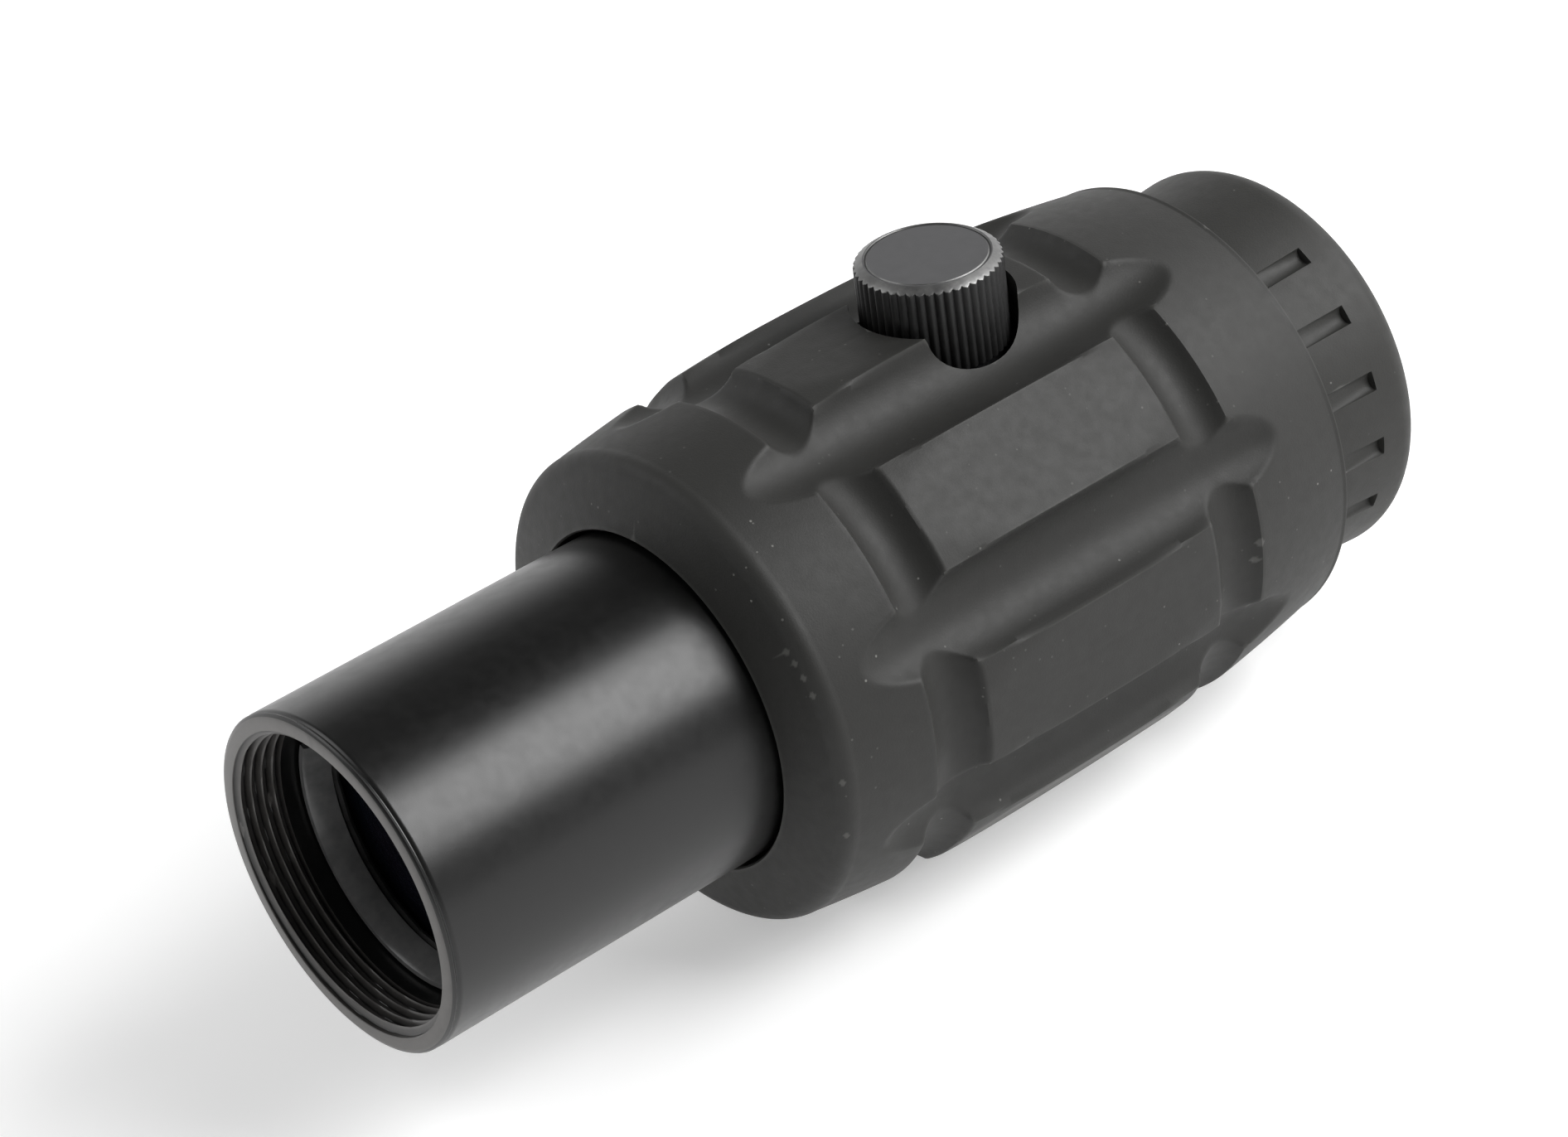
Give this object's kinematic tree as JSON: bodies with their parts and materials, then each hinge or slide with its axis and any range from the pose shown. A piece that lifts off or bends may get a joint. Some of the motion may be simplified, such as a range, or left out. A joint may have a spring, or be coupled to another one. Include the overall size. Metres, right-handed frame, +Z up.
{
  "type": "finder scope",
  "caption": "Rubber armoured monocular scope with a 30 mm objective tube, capped adjustment turrets, a gimballed erector and a screw-out diopter eyepiece ring.",
  "frame": {"origin": "centre of the flat armour panel under the barrel, on which the scope rests", "axes": "+X along the optical axis from objective to eyepiece, +Z up through the elevation turret, +Y through the windage turret"},
  "size_m": [0.1054, 0.0498, 0.0498],
  "materials": {
    "black_anodised": "satin black anodised",
    "cap_anodised": "satin black anodised, bright worn rim",
    "armor_rubber": "matte moulded rubber",
    "grip_rubber": "matte moulded rubber",
    "seal_rubber": "smooth",
    "coated_glass": "anti-reflection coated",
    "brass": "machined",
    "steel": "ground"
  },
  "bodies": {
    "housing": {"main_tube": "black_anodised", "rubber_armor": "armor_rubber", "objective_retaining_ring": "black_anodised", "objective_seal": "seal_rubber", "objective_crown_lens": "coated_glass", "objective_flint_lens": "coated_glass", "chamber_baffle": "black_anodised", "elevation_turret_base": "black_anodised", "windage_turret_base": "black_anodised", "gimbal_seat": "black_anodised", "gimbal_pin_left": "steel", "gimbal_pin_right": "steel", "bias_spring": "steel", "spring_screw": "steel", "eyepiece_tube": "black_anodised"},
    "elevation_lift": {"elevation_cap_seal": "seal_rubber"},
    "elevation_cap": {"elevation_cap": "cap_anodised"},
    "elevation_screw": {"elevation_screw": "brass"},
    "elevation_plunger": {"elevation_plunger": "steel"},
    "windage_lift": {"windage_cap_seal": "seal_rubber"},
    "windage_cap": {"windage_cap": "cap_anodised"},
    "windage_screw": {"windage_screw": "brass"},
    "windage_plunger": {"windage_plunger": "steel"},
    "gimbal": {"gimbal_ring": "brass", "gimbal_pin_top": "steel", "gimbal_pin_bottom": "steel"},
    "erector": {"erector_tube": "black_anodised", "erector_front_ring": "black_anodised", "erector_front_lens": "coated_glass", "erector_stop": "black_anodised", "erector_rear_lens": "coated_glass", "erector_rear_ring": "black_anodised"},
    "diopter_slide": {"diopter_seal": "seal_rubber"},
    "diopter": {"diopter_ring": "grip_rubber", "eyepiece_cell": "black_anodised", "eye_front_lens": "coated_glass", "eye_lens_spacer": "black_anodised", "eye_rear_lens": "coated_glass", "eyepiece_retaining_ring": "black_anodised", "ring_lock_screw_1": "steel", "ring_lock_screw_2": "steel"}
  },
  "joints": [
    {"name": "elevation_cap_lift", "type": "slide", "parent": "housing", "child": "elevation_lift", "axis": [0, 0, 1], "range_m": [0, 0.00187]},
    {"name": "elevation_cap_turn", "type": "hinge", "parent": "elevation_lift", "child": "elevation_cap", "pos_m": [0.0039, 0, 0.0229], "axis": [0, 0, 1], "range_deg": [0, 900]},
    {"name": "windage_cap_lift", "type": "slide", "parent": "housing", "child": "windage_lift", "axis": [0, 1, 0], "range_m": [0, 0.00187]},
    {"name": "windage_cap_turn", "type": "hinge", "parent": "windage_lift", "child": "windage_cap", "pos_m": [0.0039, 0, 0.0229], "axis": [0, 1, 0], "range_deg": [0, 900]},
    {"name": "gimbal_tilt", "type": "hinge", "parent": "housing", "child": "gimbal", "pos_m": [0.023, 0, 0.0229], "axis": [0, 1, 0], "range_deg": [-0.74, 0.74]},
    {"name": "elevation_screw_turn", "type": "hinge", "parent": "housing", "child": "elevation_screw", "pos_m": [0.0039, 0, 0.0229], "axis": [0, 0, 1], "range_deg": [-180, 180]},
    {"name": "elevation_plunger_slide", "type": "slide", "parent": "housing", "child": "elevation_plunger", "axis": [0, 0, 1], "range_m": [-0.00026, 0.00026]},
    {"name": "erector_swing", "type": "hinge", "parent": "gimbal", "child": "erector", "pos_m": [0.023, 0, 0.0229], "axis": [0, 0, 1], "range_deg": [-0.74, 0.74]},
    {"name": "windage_screw_turn", "type": "hinge", "parent": "housing", "child": "windage_screw", "pos_m": [0.0039, 0, 0.0229], "axis": [0, 1, 0], "range_deg": [-180, 180]},
    {"name": "windage_plunger_slide", "type": "slide", "parent": "housing", "child": "windage_plunger", "axis": [0, 1, 0], "range_m": [-0.00026, 0.00026]},
    {"name": "diopter_travel", "type": "slide", "parent": "housing", "child": "diopter_slide", "axis": [1, 0, 0], "range_m": [0, 0.0018]},
    {"name": "diopter_turn", "type": "hinge", "parent": "diopter_slide", "child": "diopter", "pos_m": [0.037, 0, 0.0229], "axis": [1, 0, 0], "range_deg": [0, 300]}
  ],
  "couplings": [
    {"joint": "elevation_cap_turn", "follows": "elevation_cap_lift", "rad_per_m": 8377.6},
    {"joint": "windage_cap_turn", "follows": "windage_cap_lift", "rad_per_m": 8377.6},
    {"joint": "elevation_screw_turn", "follows": "gimbal_tilt", "ratio": 240.02},
    {"joint": "elevation_plunger_slide", "follows": "gimbal_tilt", "m_per_rad": 0.0191},
    {"joint": "windage_screw_turn", "follows": "erector_swing", "ratio": -240.02},
    {"joint": "windage_plunger_slide", "follows": "erector_swing", "m_per_rad": -0.0191},
    {"joint": "diopter_travel", "follows": "diopter_turn", "m_per_rad": 0.00031831}
  ]
}
